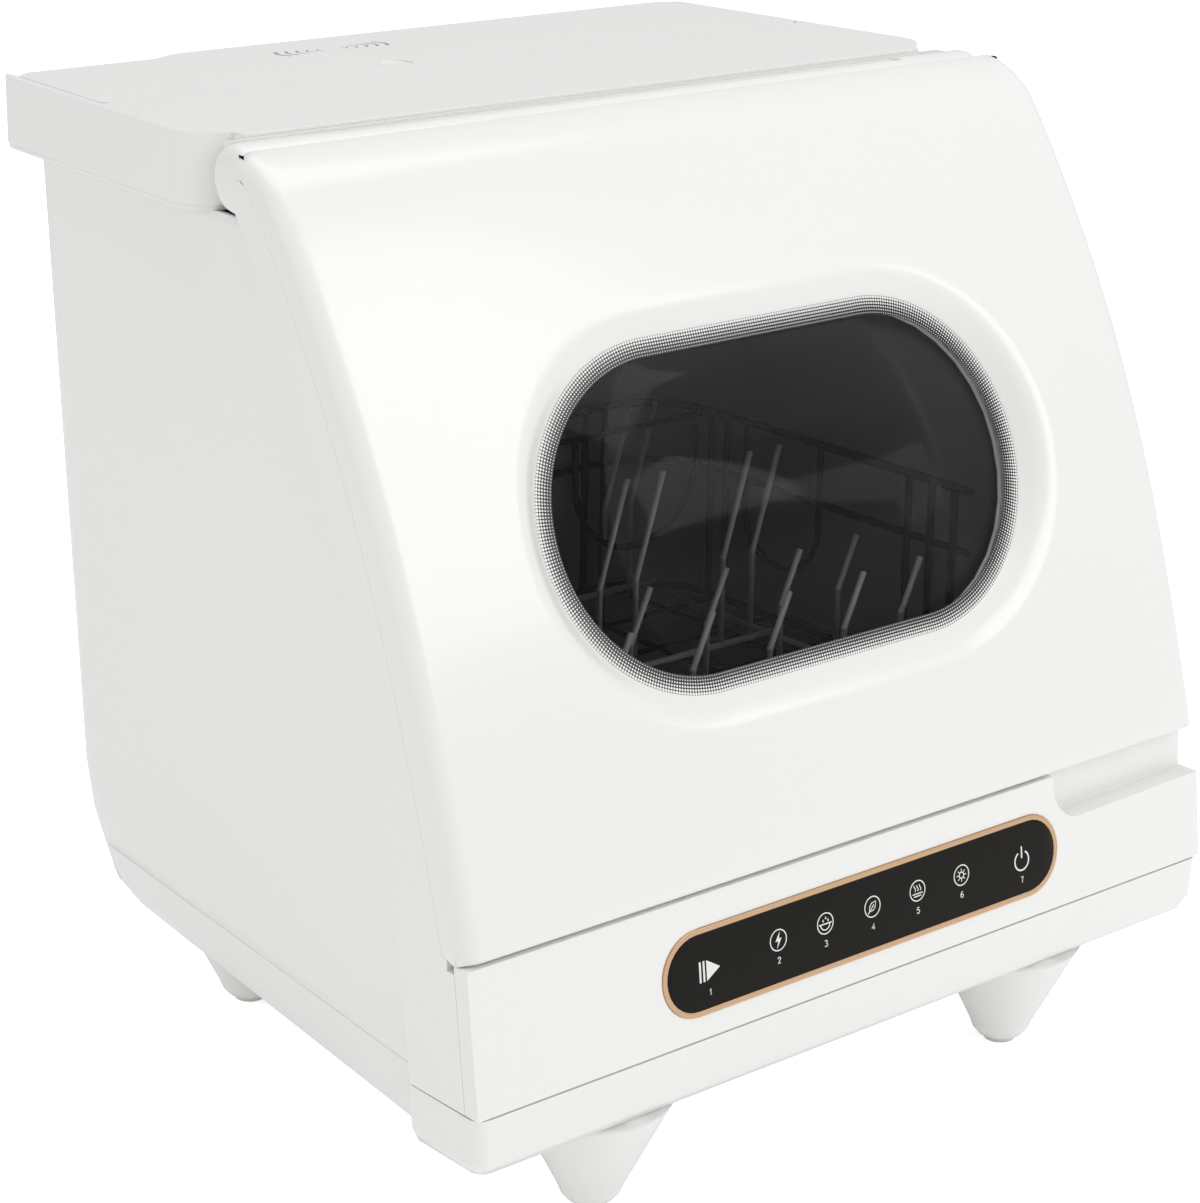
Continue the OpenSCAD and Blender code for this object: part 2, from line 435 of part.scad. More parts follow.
module drain_pump() color([0.25, 0.25, 0.27]) { translate([130, -50, pan_z + wall]) cylinder(r = 22, h = 38); translate([130, -50, pan_z + wall + 38]) cylinder(r = 14, h = 16); }
module feed_pipe() color([0.55, 0.55, 0.57]) {
  difference() {
    union() { translate([20, -40, 114]) cube([20, 20, 17]); rod_x(-40, 25, -30, 124, 6.5); translate([-47, -37, 117]) cube([14, 14, 14]); rod_y(-25, -15, -40, 124, 5.5); }
    translate([30, -30, 113]) cylinder(r = 6, h = 9);
  }
  rod_x(34, 85.5, 40, 108.4, 5);
  translate([24, 34, 102.4]) cube([12, 12, 12]);
  rod_y(4, 36, 30, 108.4, 4.6);
}
module drain_hose() color([0.4, 0.4, 0.42]) rod_y(69, 156, 100, 110, 6);

// ---------- tank ----------
module water_tank() color([0.85, 0.88, 0.9, 0.6]) {
  union() {
    difference() {
      union() { translate([-150, 102.5, 150]) cube([300, 57.5, 252]); translate([filler[0], filler[1], 400]) cylinder(r = 18, h = total_h - 6.4 - 400); }
      translate([-147.5, 105, 152.5]) cube([295, 52.5, 247]);
      translate([filler[0], filler[1], 390]) cylinder(r = 16, h = 60);
    }
    translate([80, 133, 151]) cylinder(r = 2.4, h = 250);
  }
}
module tank_float() color([0.9, 0.5, 0.2]) translate([80, 133, 153]) difference() { cylinder(r = 14, h = 14); translate([0, 0, -1]) cylinder(r = 2.48, h = 20); }
module tank_lid() color([0.92, 0.92, 0.9]) {
  difference() {
    zprism(total_h - 3.2, total_h) polygon(lid_plan);
    translate([-35, 104, total_h - 0.8]) cylinder(r = 7, h = 2);
  }
  translate([-100, rear_y - 2.5, 411]) cube([218, 2.5, total_h - 3.2 - 411 + 0.4]);
  both() difference() {
    union() { translate([130, 171, 418.6]) rotate([0, 90, 0]) cylinder(r = 3.4, h = 20); xprism(130, 150) polygon([[168, 418.6], [168, total_h - 3], [171.4, total_h - 3], [171.4, 418.6]]); }
    translate([120, 171, 418.6]) rotate([0, 90, 0]) cylinder(r = 1.56, h = 50);
  }
}
module lid_pins() color([0.75, 0.75, 0.76]) both() union() {
  translate([126, 171, 418.6]) rotate([0, 90, 0]) cylinder(r = 1.5, h = 32);
  difference() {
    for (x = [124, 151]) { translate([x, 171, 418.6]) rotate([0, 90, 0]) cylinder(r = 3.4, h = 5); xprism(x, x + 5) translate([168, lip_z]) square([6, 418.6 - lip_z]); }
    translate([120, 171, 418.6]) rotate([0, 90, 0]) cylinder(r = 1.5, h = 50);
  }
}

// ---------- drying, rear and electrics ----------
module blower() color([0.25, 0.25, 0.27]) translate([-110, 60, 0]) {
  difference() {
    union() { translate([0, 0, 100]) cylinder(r = 38, h = 34); translate([-40, 0, 100]) cube([40, 96, 34]); }
    translate([0, 0, 103]) cylinder(r = 35, h = 28);
    translate([-36, 0, 103]) cube([33, 120, 28]);
    translate([0, 0, 128]) cylinder(r = 20, h = 10);
  }
  translate([0, 0, 102]) cylinder(r = 3, h = 22);
  for (k = [[-30, -12], [28, -12], [-30, 60], [-8, 60]]) translate([k[0], k[1], pan_z + wall]) cylinder(r = 4, h = 48, $fn = 24);
}
module blower_wheel() color([0.8, 0.8, 0.8]) translate([-110, 60, 0]) {
  difference() {
    union() { translate([0, 0, 105]) cylinder(r = 30, h = 2); translate([0, 0, 104]) cylinder(r = 6, h = 21.5); }
    translate([0, 0, 100]) cylinder(r = 3.06, h = 24.5);
  }
  for (a = [0:30:330]) rotate([0, 0, a]) translate([22, -0.8, 106.5]) cube([7.5, 1.6, 20]);
}
module rear_grille() color([0.82, 0.82, 0.8]) difference() {
  translate([-154, grille_y, 119.5]) cube([68, 2.2, 30]);
  for (i = [0:2]) translate([-146, 160, 126.6 + i * 6]) cube([52, 12, 3.6]);
  for (x = [-151, -89], z = [122.5, 146.5]) translate([x, 160, z]) rotate([-90, 0, 0]) cylinder(r = 1.25, h = 12);
}
module grille_screws() color([0.7, 0.7, 0.72]) for (x = [-151, -89], z = [122.5, 146.5]) translate([x, 161.5, z]) rotate([-90, 0, 0]) { cylinder(r = 1.2, h = grille_y + 2.4 - 161.5); translate([0, 0, grille_y + 2.2 - 161.5]) cylinder(r = 2.6, h = 1.4); }
module hose_fittings() color([0.3, 0.3, 0.31]) for (x = fit_x) translate([x, 156, 110]) rotate([-90, 0, 0]) difference() {
  union() { cylinder(r = x == fit_x[2] ? 7 : 10, h = 13); translate([0, 0, 10.6]) cylinder(r = x == fit_x[2] ? 10 : 13, h = 3); if (x != fit_x[2]) cylinder(r = 7.5, h = 22); }
  translate([0, 0, -1]) cylinder(r = x == fit_x[2] ? 3.4 : 4.5, h = 30);
}
module main_board() color([0.1, 0.35, 0.2]) { translate([-160, -110, 60]) cube([90, 110, 1.6]); for (x = [-154, -76], y = [-104, -6]) translate([x, y, pan_z + wall]) cylinder(r = 3, h = 7, $fn = 24); for (y = [-95, -60, -25]) translate([-140, y, 61.6]) cube([22, 18, 14]); }

casing();
rim_flange();
top_cover();
base_pan();
front_band();
fascia();
side_frame_left();
side_frame_right();
mouth_header();
mouth_sill();
hinge_beam();
beam_strip();
hinge_pins();
hinge_dampers();
mouth_gasket();
control_lens();
control_rim();
touch_board();
foot_front_left();
foot_front_right();
foot_rear_left();
foot_rear_right();
foot_pads();
door_shell();
door_liner();
hinge_arms();
window_surround();
window_glass();
window_border();
window_gasket();
window_clamp();
door_magnets();
strike_plates();
tub();
lower_hub();
lower_spray_arm();
upper_hub();
upper_spray_arm();
basket_rails();
basket_wires();
plate_rack();
plate_tines();
sump();
filter_cup();
heater();
wash_pump();
pump_impeller();
drain_pump();
feed_pipe();
drain_hose();
water_tank();
tank_float();
tank_lid();
lid_pins();
blower();
blower_wheel();
rear_grille();
grille_screws();
hose_fittings();
main_board();
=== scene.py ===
"""Looks of a countertop dishwasher with a hood door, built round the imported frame."""

import json
import math

import bpy
from mathutils import Matrix, Vector


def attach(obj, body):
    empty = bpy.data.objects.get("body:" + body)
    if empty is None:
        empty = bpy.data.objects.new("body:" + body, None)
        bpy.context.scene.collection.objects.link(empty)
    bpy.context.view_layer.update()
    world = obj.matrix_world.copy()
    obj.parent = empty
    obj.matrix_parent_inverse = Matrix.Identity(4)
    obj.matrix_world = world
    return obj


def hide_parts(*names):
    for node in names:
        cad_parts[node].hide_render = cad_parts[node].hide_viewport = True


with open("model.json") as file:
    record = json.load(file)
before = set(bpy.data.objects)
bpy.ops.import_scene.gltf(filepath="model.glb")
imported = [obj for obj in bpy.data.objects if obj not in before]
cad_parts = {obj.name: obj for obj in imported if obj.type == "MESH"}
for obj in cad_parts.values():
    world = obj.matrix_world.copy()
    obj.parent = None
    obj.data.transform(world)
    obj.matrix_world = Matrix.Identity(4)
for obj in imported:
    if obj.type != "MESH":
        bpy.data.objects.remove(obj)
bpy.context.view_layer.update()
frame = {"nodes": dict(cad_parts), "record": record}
NODES = frame["nodes"]
MM = 0.001


# ---------- materials ----------
def base_mat(name):
    m = bpy.data.materials.new(name)
    m.use_nodes = True
    nt = m.node_tree
    nt.nodes.clear()
    out = nt.nodes.new("ShaderNodeOutputMaterial")
    b = nt.nodes.new("ShaderNodeBsdfPrincipled")
    nt.links.new(b.outputs[0], out.inputs[0])
    return m, nt, b


def node(nt, kind, **inputs):
    n = nt.nodes.new(kind)
    for k, v in inputs.items():
        n.inputs[k.replace("_", " ")].default_value = v
    return n


def math_node(nt, op, a, b=None, c=None):
    n = nt.nodes.new("ShaderNodeMath")
    n.operation = op
    for i, v in enumerate((a, b, c)):
        if v is None:
            continue
        if isinstance(v, (int, float)):
            n.inputs[i].default_value = v
        else:
            nt.links.new(v, n.inputs[i])
    return n.outputs[0]


def coords(nt):
    return nt.nodes.new("ShaderNodeTexCoord").outputs["Object"]


def plastic(
    name,
    color,
    rough=0.3,
    vary=0.02,
    grain=900.0,
    bump=0.02,
    coat=0.0,
    metallic=0.0,
    rough_vary=0.05,
    stretch=None,
    specular=0.5,
):
    m, nt, b = base_mat(name)
    co = coords(nt)
    if stretch:
        mp = nt.nodes.new("ShaderNodeMapping")
        mp.inputs["Scale"].default_value = stretch
        nt.links.new(co, mp.inputs["Vector"])
        co = mp.outputs[0]
    wide = node(nt, "ShaderNodeTexNoise", Scale=9.0, Detail=2.0)
    nt.links.new(co, wide.inputs["Vector"])
    mix = nt.nodes.new("ShaderNodeMix")
    mix.data_type = "RGBA"
    mix.inputs["A"].default_value = (*[max(0, c * (1 - vary)) for c in color], 1)
    mix.inputs["B"].default_value = (*[min(1, c * (1 + vary)) for c in color], 1)
    nt.links.new(wide.outputs["Fac"], mix.inputs["Factor"])
    nt.links.new(mix.outputs["Result"], b.inputs["Base Color"])
    fine = node(nt, "ShaderNodeTexNoise", Scale=grain, Detail=3.0)
    nt.links.new(co, fine.inputs["Vector"])
    r = nt.nodes.new("ShaderNodeMapRange")
    r.inputs["To Min"].default_value = max(0.02, rough - rough_vary)
    r.inputs["To Max"].default_value = rough + rough_vary
    nt.links.new(fine.outputs["Fac"], r.inputs["Value"])
    nt.links.new(r.outputs[0], b.inputs["Roughness"])
    bp = node(nt, "ShaderNodeBump", Strength=bump, Distance=0.0004)
    nt.links.new(fine.outputs["Fac"], bp.inputs["Height"])
    nt.links.new(bp.outputs[0], b.inputs["Normal"])
    b.inputs["Metallic"].default_value = metallic
    b.inputs["Specular IOR Level"].default_value = specular
    if coat:
        b.inputs["Coat Weight"].default_value = coat
        b.inputs["Coat Roughness"].default_value = 0.08
    return m


M = {}
M["white_gloss"] = plastic("white_gloss", (0.86, 0.865, 0.845), 0.24, 0.006, 420, 0.015, coat=0.25)
M["white_side"] = plastic("white_side", (0.84, 0.845, 0.825), 0.34, 0.006, 1300, 0.05)
M["white_satin"] = plastic("white_satin", (0.80, 0.80, 0.785), 0.42, 0.01, 1500, 0.05)
M["black_lens"] = plastic("black_lens", (0.0105, 0.0098, 0.0082), 0.16, 0.08, 700, 0.01, specular=0.09)
M["rose_metal"] = plastic("rose_metal", (0.62, 0.40, 0.24), 0.30, 0.04, 1600, 0.05, metallic=0.85)
M["clear_rubber"] = plastic("clear_rubber", (0.70, 0.70, 0.67), 0.55, 0.02, 1200, 0.10)
M["black_rubber"] = plastic("black_rubber", (0.022, 0.022, 0.023), 0.62, 0.10, 1400, 0.15)
M["tub_grey"] = plastic("tub_grey", (0.190, 0.195, 0.194), 0.50, 0.03, 1500, 0.008, specular=0.3)
M["arm_grey"] = plastic("arm_grey", (0.07, 0.072, 0.076), 0.40, 0.05, 1200, 0.08)
M["coated_black"] = plastic("coated_black", (0.0025, 0.0025, 0.0026), 0.50, 0.12, 700, 0.10, specular=0.08)
M["coated_grey"] = plastic("coated_grey", (0.27, 0.285, 0.28), 0.34, 0.06, 700, 0.10)
M["steel"] = plastic("steel", (0.56, 0.56, 0.57), 0.28, 0.05, 300, 0.10, metallic=1.0, stretch=(1, 14, 14))
M["dark_plastic"] = plastic("dark_plastic", (0.035, 0.035, 0.037), 0.48, 0.10, 1300, 0.12)
M["pale_plastic"] = plastic("pale_plastic", (0.68, 0.68, 0.66), 0.40, 0.03, 1300, 0.08)
M["float_orange"] = plastic("float_orange", (0.62, 0.20, 0.04), 0.45, 0.06, 900, 0.15)
M["board_green"] = plastic("board_green", (0.02, 0.13, 0.05), 0.35, 0.15, 260, 0.15)
M["mark_white"] = plastic("mark_white", (0.82, 0.82, 0.80), 0.40, 0.02, 1800, 0.02)
M["mark_grey"] = plastic("mark_grey", (0.30, 0.31, 0.32), 0.45, 0.05, 1800, 0.02)
M["seam_dark"] = plastic("seam_dark", (0.10, 0.10, 0.10), 0.60, 0.05, 900, 0.02)


def clear_plastic():
    m, nt, b = base_mat("clear_tank")
    co = coords(nt)
    n = node(nt, "ShaderNodeTexNoise", Scale=60.0, Detail=3.0)
    nt.links.new(co, n.inputs["Vector"])
    mix = nt.nodes.new("ShaderNodeMix")
    mix.data_type = "RGBA"
    mix.inputs["A"].default_value = (0.62, 0.68, 0.71, 1)
    mix.inputs["B"].default_value = (0.70, 0.75, 0.77, 1)
    nt.links.new(n.outputs["Fac"], mix.inputs["Factor"])
    nt.links.new(mix.outputs["Result"], b.inputs["Base Color"])
    b.inputs["Roughness"].default_value = 0.22
    b.inputs["Alpha"].default_value = 0.55
    return m


def smoked_glass():
    m, nt, b = base_mat("smoked_glass")
    co = coords(nt)
    n = node(nt, "ShaderNodeTexNoise", Scale=40.0, Detail=2.0)
    nt.links.new(co, n.inputs["Vector"])
    mix = nt.nodes.new("ShaderNodeMix")
    mix.data_type = "RGBA"
    mix.inputs["A"].default_value = (0.010, 0.011, 0.012, 1)
    mix.inputs["B"].default_value = (0.016, 0.017, 0.018, 1)
    nt.links.new(n.outputs["Fac"], mix.inputs["Factor"])
    nt.links.new(mix.outputs["Result"], b.inputs["Base Color"])
    b.inputs["Roughness"].default_value = 0.03
    b.inputs["Alpha"].default_value = 0.16
    sep = nt.nodes.new("ShaderNodeSeparateXYZ")
    nt.links.new(co, sep.inputs[0])
    sheen = nt.nodes.new("ShaderNodeMapRange")
    sheen.inputs["From Min"].default_value = 0.20
    sheen.inputs["From Max"].default_value = 0.33
    sheen.inputs["To Min"].default_value = 0.06
    sheen.inputs["To Max"].default_value = 0.95
    nt.links.new(sep.outputs[2], sheen.inputs["Value"])
    nt.links.new(sheen.outputs[0], b.inputs["Specular IOR Level"])
    return m


def dotted():
    """White halftone dots on black: large toward the outside, small toward the clear glass."""
    m, nt, b = base_mat("dotted_border")
    uv = nt.nodes.new("ShaderNodeUVMap")
    uv.uv_map = "dots"
    sep = nt.nodes.new("ShaderNodeSeparateXYZ")
    nt.links.new(uv.outputs[0], sep.inputs[0])
    u, v = sep.outputs[0], sep.outputs[1]
    fu = math_node(nt, "SUBTRACT", math_node(nt, "FRACT", u), 0.5)
    fv = math_node(nt, "SUBTRACT", math_node(nt, "FRACT", v), 0.5)
    d = math_node(nt, "SQRT", math_node(nt, "ADD", math_node(nt, "MULTIPLY", fu, fu), math_node(nt, "MULTIPLY", fv, fv)))
    row = math_node(nt, "FLOOR", v)
    size = math_node(nt, "ADD", math_node(nt, "MULTIPLY", row, 0.057), 0.195)
    edge = math_node(nt, "MULTIPLY", math_node(nt, "SUBTRACT", size, d), 14.0)
    edge = math_node(nt, "MINIMUM", math_node(nt, "MAXIMUM", edge, 0.0), 1.0)
    mix = nt.nodes.new("ShaderNodeMix")
    mix.data_type = "RGBA"
    mix.inputs["A"].default_value = (0.006, 0.006, 0.006, 1)
    mix.inputs["B"].default_value = (0.84, 0.84, 0.82, 1)
    nt.links.new(edge, mix.inputs["Factor"])
    nt.links.new(mix.outputs["Result"], b.inputs["Base Color"])
    b.inputs["Roughness"].default_value = 0.25
    return m


M["clear_tank"] = clear_plastic()
M["smoked_glass"] = smoked_glass()
M["black_print"] = dotted()

SLOT = {s["node"]: s["material_slot"] for s in frame["record"]["subparts"]}
BEVEL = {
    "fascia": 1.3, "side_frame_left": 0.8, "side_frame_right": 0.8, "hinge_beam": 1.2, "front_band": 0.8,
    "base_pan": 0.8, "rim_flange": 0.7, "top_cover": 5.0, "tank_lid": 0.7, "rear_grille": 0.5, "hose_fittings": 0.5,
    "door_liner": 0.8, "mouth_header": 0.8, "mouth_sill": 0.8, "control_rim": 0.25, "beam_strip": 0.4,
    "lower_spray_arm": 0.8, "upper_spray_arm": 0.8, "filter_cup": 0.4, "sump": 0.5, "lower_hub": 0.5, "upper_hub": 0.5,
    "blower": 0.8, "wash_pump": 0.8, "drain_pump": 0.8, "tank_float": 1.5, "foot_pads": 0.6, "window_clamp": 0.4,
    "hinge_arms": 0.8, "lid_pins": 0.3, "strike_plates": 0.3, "door_magnets": 0.5, "water_tank": 1.2,
}
FLAT = ("casing", "top_cover", "tank_lid", "side_frame_left", "side_frame_right", "fascia", "front_band", "control_lens", "tub")
for name, obj in NODES.items():
    me = obj.data
    me.materials.clear()
    me.materials.append(M[SLOT[name]])
    me.polygons.foreach_set("use_smooth", [True] * len(me.polygons))
    w = obj.modifiers.new("weld", "WELD")
    w.merge_threshold = 0.00002
    if name in BEVEL:
        bv = obj.modifiers.new("edge", "BEVEL")
        bv.width = BEVEL[name] * MM
        bv.segments = 3
        bv.limit_method = "ANGLE"
        bv.angle_limit = math.radians(40)
        bv.use_clamp_overlap = True
        bv.harden_normals = False
    try:
        me.set_sharp_from_angle(angle=math.radians(38))
    except AttributeError:
        pass
    if name in FLAT:
        wn = obj.modifiers.new("flat_faces", "WEIGHTED_NORMAL")
        wn.weight = 100
        wn.keep_sharp = True


# ---------- shapes shared with the CAD source, in millimetres ----------
HX = 209.5
HINGE = (-14.0, 412.0)
DOOR_BEZ = [(-172, 140.6), (-138.3, 264.6), (-107.2, 333.1), (-55.5, 406.8)]
FRAME_BEZ = [(-135.8, 78.8), (-113.1, 223.2), (-99.3, 298.5), (-24.7, 405)]
WIN_T = 0.452
WIN_L, WIN_H = 124.4, 64.8
DOOR_T = 15.95


def bez(p, t):
    k = ((1 - t) ** 3, 3 * (1 - t) ** 2 * t, 3 * (1 - t) * t * t, t**3)
    return (sum(a * q[0] for a, q in zip(k, p)), sum(a * q[1] for a, q in zip(k, p)))


def bez_d(p, t):
    k = (3 * (1 - t) ** 2, 6 * (1 - t) * t, 3 * t * t)
    d = [(p[i + 1][0] - p[i][0], p[i + 1][1] - p[i][1]) for i in range(3)]
    return (sum(a * q[0] for a, q in zip(k, d)), sum(a * q[1] for a, q in zip(k, d)))


TOP_C = (-55.5 - 45 * math.cos(math.radians(145)), 406.8 - 45 * math.sin(math.radians(145)))
profile = [bez(DOOR_BEZ, i / 240) for i in range(241)]
profile += [
    (TOP_C[0] + 45 * math.cos(math.radians(a)), TOP_C[1] + 45 * math.sin(math.radians(a)))
    for a in [145 + (98.8 - 145) * i / 40 for i in range(1, 41)]
]
arc_s = [0.0]
for a, b in zip(profile, profile[1:]):
    arc_s.append(arc_s[-1] + math.dist(a, b))
FULL = arc_s[-1]


def at(s):
    """Point and inward normal on the door's face at arc length s from its lower edge."""
    s = min(max(s, 0.0), FULL)
    lo, hi = 0, len(arc_s) - 1
    while hi - lo > 1:
        mid = (lo + hi) // 2
        if arc_s[mid] <= s:
            lo = mid
        else:
            hi = mid
    f = (s - arc_s[lo]) / max(1e-9, arc_s[hi] - arc_s[lo])
    a, b = profile[lo], profile[hi]
    p = (a[0] + (b[0] - a[0]) * f, a[1] + (b[1] - a[1]) * f)
    i0, i1 = max(0, lo - 2), min(len(profile) - 1, hi + 2)
    t = (profile[i1][0] - profile[i0][0], profile[i1][1] - profile[i0][1])
    n = math.hypot(*t)
    return p, (t[1] / n, -t[0] / n)


def s_of(t):
    return arc_s[round(t * 240)]


WIN_S = arc_s[int(WIN_T * 240)] + (WIN_T * 240 - int(WIN_T * 240)) * (arc_s[int(WIN_T * 240) + 1] - arc_s[int(WIN_T * 240)])
WIN_C = bez(DOOR_BEZ, WIN_T)
_d = bez_d(DOOR_BEZ, WIN_T)
_n = math.hypot(*_d)
WIN_UP = (_d[0] / _n, _d[1] / _n)
WIN_IN = (WIN_UP[1], -WIN_UP[0])


def smooth01(x):
    x = min(max(x, 0.0), 1.0)
    return x * x * (3 - 2 * x)


def crown(x, s):
    w = 0.25 + 0.75 * math.sin(math.pi * min(1.0, s / (0.92 * FULL)))
    w *= smooth01((FULL - s) / 70.0)
    return 3.2 * (1 - (x / HX) ** 2) * w


def on_face(x, s, depth=0.0):
    p, n = at(s)
    d = depth - crown(x, s)
    return Vector((x, p[0] + n[0] * d, p[1] + n[1] * d))


def on_window(x, v, depth):
    return Vector((x, WIN_C[0] + v * WIN_UP[0] + depth * WIN_IN[0], WIN_C[1] + v * WIN_UP[1] + depth * WIN_IN[1]))


def make(name, verts, faces, body, mat, replaces=(), smooth=True, sharp=38, uv=None):
    me = bpy.data.meshes.new(name)
    me.from_pydata([tuple(Vector(v) * MM) for v in verts], [], faces)
    me.validate()
    me.update()
    if smooth:
        me.polygons.foreach_set("use_smooth", [True] * len(me.polygons))
        if sharp:
            me.set_sharp_from_angle(angle=math.radians(sharp))
    me.materials.append(M[mat])
    ob = bpy.data.objects.new(name, me)
    bpy.context.scene.collection.objects.link(ob)
    if uv:
        layer = me.uv_layers.new(name="dots")
        for poly in me.polygons:
            for li in poly.loop_indices:
                layer.data[li].uv = uv(poly.index, me.loops[li].vertex_index)
    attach(ob, body)
    if replaces:
        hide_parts(*replaces)
    return ob


def fix_normals(ob):
    import bmesh

    bm = bmesh.new()
    bm.from_mesh(ob.data)
    bmesh.ops.recalc_face_normals(bm, faces=bm.faces)
    bm.to_mesh(ob.data)
    bm.free()


def rings_to_mesh(rings, close=True, cap_first=False, cap_last=False):
    """Quads between rings of equal length; close joins the last ring to the first."""
    n = len(rings[0])
    verts = [v for r in rings for v in r]
    faces = []
    m = len(rings)
    for j in range(m if close else m - 1):
        a, b = j * n, ((j + 1) % m) * n
        for i in range(n):
            k = (i + 1) % n
            faces.append((a + i, a + k, b + k, b + i))
    if cap_first:
        faces.append(tuple(range(n - 1, -1, -1)))
    if cap_last:
        faces.append(tuple((m - 1) * n + i for i in range(n)))
    return verts, faces


# ---------- door ----------
def stadium_hit(cx, cy, l, h):
    """Where the ray from the middle in direction (cx, cy) meets the stadium of half length l and half height h."""
    half = l - h
    if abs(cy) > 1e-9:
        t = h / abs(cy)
        if abs(t * cx) <= half:
            return t * cx, t * cy
    sx = half if cx > 0 else -half
    b = cx * sx
    disc = b * b - (cx * cx + cy * cy) * (sx * sx - h * h)
    t = (b + math.sqrt(max(0.0, disc))) / (cx * cx + cy * cy)
    return t * cx, t * cy


def rect_ring(ix, ib, it, nx=76, ns=60):
    """Points round the door's developed rectangle, inset ix at the sides, ib at the bottom and it at the top."""
    x0, x1, s0, s1 = -HX + ix, HX - ix, ib, FULL - it
    pts = []
    for i in range(nx):
        pts.append((x0 + (x1 - x0) * i / nx, s0))
    for i in range(ns):
        pts.append((x1, s0 + (s1 - s0) * i / ns))
    for i in range(nx):
        pts.append((x1 + (x0 - x1) * i / nx, s1))
    for i in range(ns):
        pts.append((x0, s1 + (s0 - s1) * i / ns))
    return pts


def face_y(z):
    """Depth of the door's face at height z."""
    for a, b in zip(profile, profile[1:]):
        if a[1] <= z <= b[1]:
            return a[0] + (b[0] - a[0]) * (z - a[1]) / max(1e-9, b[1] - a[1])
    return profile[0][0] if z < profile[0][1] else profile[-1][0]


def door_rear(p):
    y, z = p
    r = y + DOOR_T
    if z > 397.5:
        k = 14.7**2 - (z - 412.0) ** 2
        if k > 0:
            r = min(r, -14.0 - math.sqrt(k))
        r = min(r, -25.5) if z > 416 else r
    return max(r, y + 1.2), z


def door_panel():
    RS, RB, RT = 8.0, 2.6, 1.4
    border = rect_ring(RS, RB, RT)
    dirs = [(x, s - WIN_S) for x, s in border]
    rings = []

    def stad(d, depth_plane=None, w=1.0, depth_face=0.0):
        out = []
        for cx, cy in dirs:
            x, v = stadium_hit(cx, cy, WIN_L + 8 + d, WIN_H + 7.9 + d)
            a = on_window(x, v, depth_plane if depth_plane is not None else 8.0)
            if w <= 0:
                out.append(a)
            else:
                b = on_face(x, WIN_S + v, depth_face)
                out.append(a.lerp(b, w))
        return out

    rings.append(stad(0.0, 8.0, 0.0))
    steps = 12
    for k in range(steps + 1):
        d = 0.15 + 15.6 * k / steps
        q = k / steps
        w = 0.04 + 0.96 * math.sin(math.pi / 2 * q) ** 1.08
        rings.append(stad(d, 8.0, min(1.0, w)))
    rings.append(stad(17.5, None, 1.0))
    K = 22
    for k in range(1, K + 1):
        f = k / K
        f = f**1.15
        ring = []
        for (cx, cy), (bx, bs) in zip(dirs, border):
            x, v = stadium_hit(cx, cy, WIN_L + 25.5, WIN_H + 25.4)
            ring.append(on_face(x + (bx - x) * f, WIN_S + v + (bs - WIN_S - v) * f))
        rings.append(ring)
    # rounded edges
    E = 7
    for k in range(1, E + 1):
        a = math.pi / 2 * k / E
        c = 1 - math.sin(a)
        pts = rect_ring(RS * c, RB * c, RT * c)
        ring = []
        for x, s in pts:
            def f(d, r):
                return 0.0 if d >= r else r - math.sqrt(max(0.0, r * r - (r - d) ** 2))
            dep = f(HX - abs(x), RS) + f(s, RB) + f(FULL - s, RT)
            ring.append(on_face(x, s, min(dep, RS)))
        rings.append(ring)
    outer = rings[-1]
    flat = rect_ring(0.0, 0.0, 0.0)
    # back along the sides, the lower edge and the end over the barrel
    back, lip, deep = [], [], []
    for (x, s), o in zip(flat, outer):
        p, n = at(s)
        on_side = abs(abs(x) - HX) < 1e-6
        ry, rz = door_rear(p)
        at_top, at_bot = s > FULL - 1e-6, s < 1e-6
        if at_top and not on_side:
            back.append(Vector((x, -25.6, 421.4)))
        else:
            bz = min(rz, o.z) if not at_bot else 140.7
            by = ry if at_bot else door_rear((face_y(bz), bz))[0]
            back.append(Vector((x, max(by, o.y + 0.5), bz)))
        xi = max(-HX + 3.0, min(HX - 3.0, x))
        if at_bot:
            lip.append(Vector((xi, ry, 145.4)))
            deep.append(Vector((xi, ry - 3.5, 146.0)))
        elif at_top:
            lip.append(Vector((xi, -27.5, 421.0)))
            deep.append(Vector((xi, -29.0, 420.6)))
        else:
            lip.append(Vector((xi, ry, rz)))
            deep.append(Vector((xi, max(ry - 3.5, p[0] + n[0] * 3.2), rz)))
    rings += [back, lip, deep]
    # inner skin back to the window
    inner = rect_ring(9.0, 7.5, 8.0)
    rings.append([on_face(x, s, 3.0) for x, s in inner])
    for f in (0.66, 0.33, 0.0):
        ring = []
        for (cx, cy), (bx, bs) in zip(dirs, inner):
            x, v = stadium_hit(cx, cy, 153.0, 94.0)
            ring.append(on_face(x + (bx - x) * f, WIN_S + v + (bs - WIN_S - v) * f, 3.2))
        rings.append(ring)
    rings.append(stad(16.5, 12.0, 0.0))
    rings.append(stad(10.0, 12.0, 0.0))
    rings.append(stad(10.0, 8.3, 0.0))
    rings.append(stad(0.2, 8.3, 0.0))
    verts, faces = rings_to_mesh(rings)
    ob = make("door_panel", verts, faces, "door", "white_gloss", replaces=("door_shell", "window_surround"), sharp=None)
    fix_normals(ob)
    ob.data.set_sharp_from_angle(angle=math.radians(50))
    return ob


door_panel()


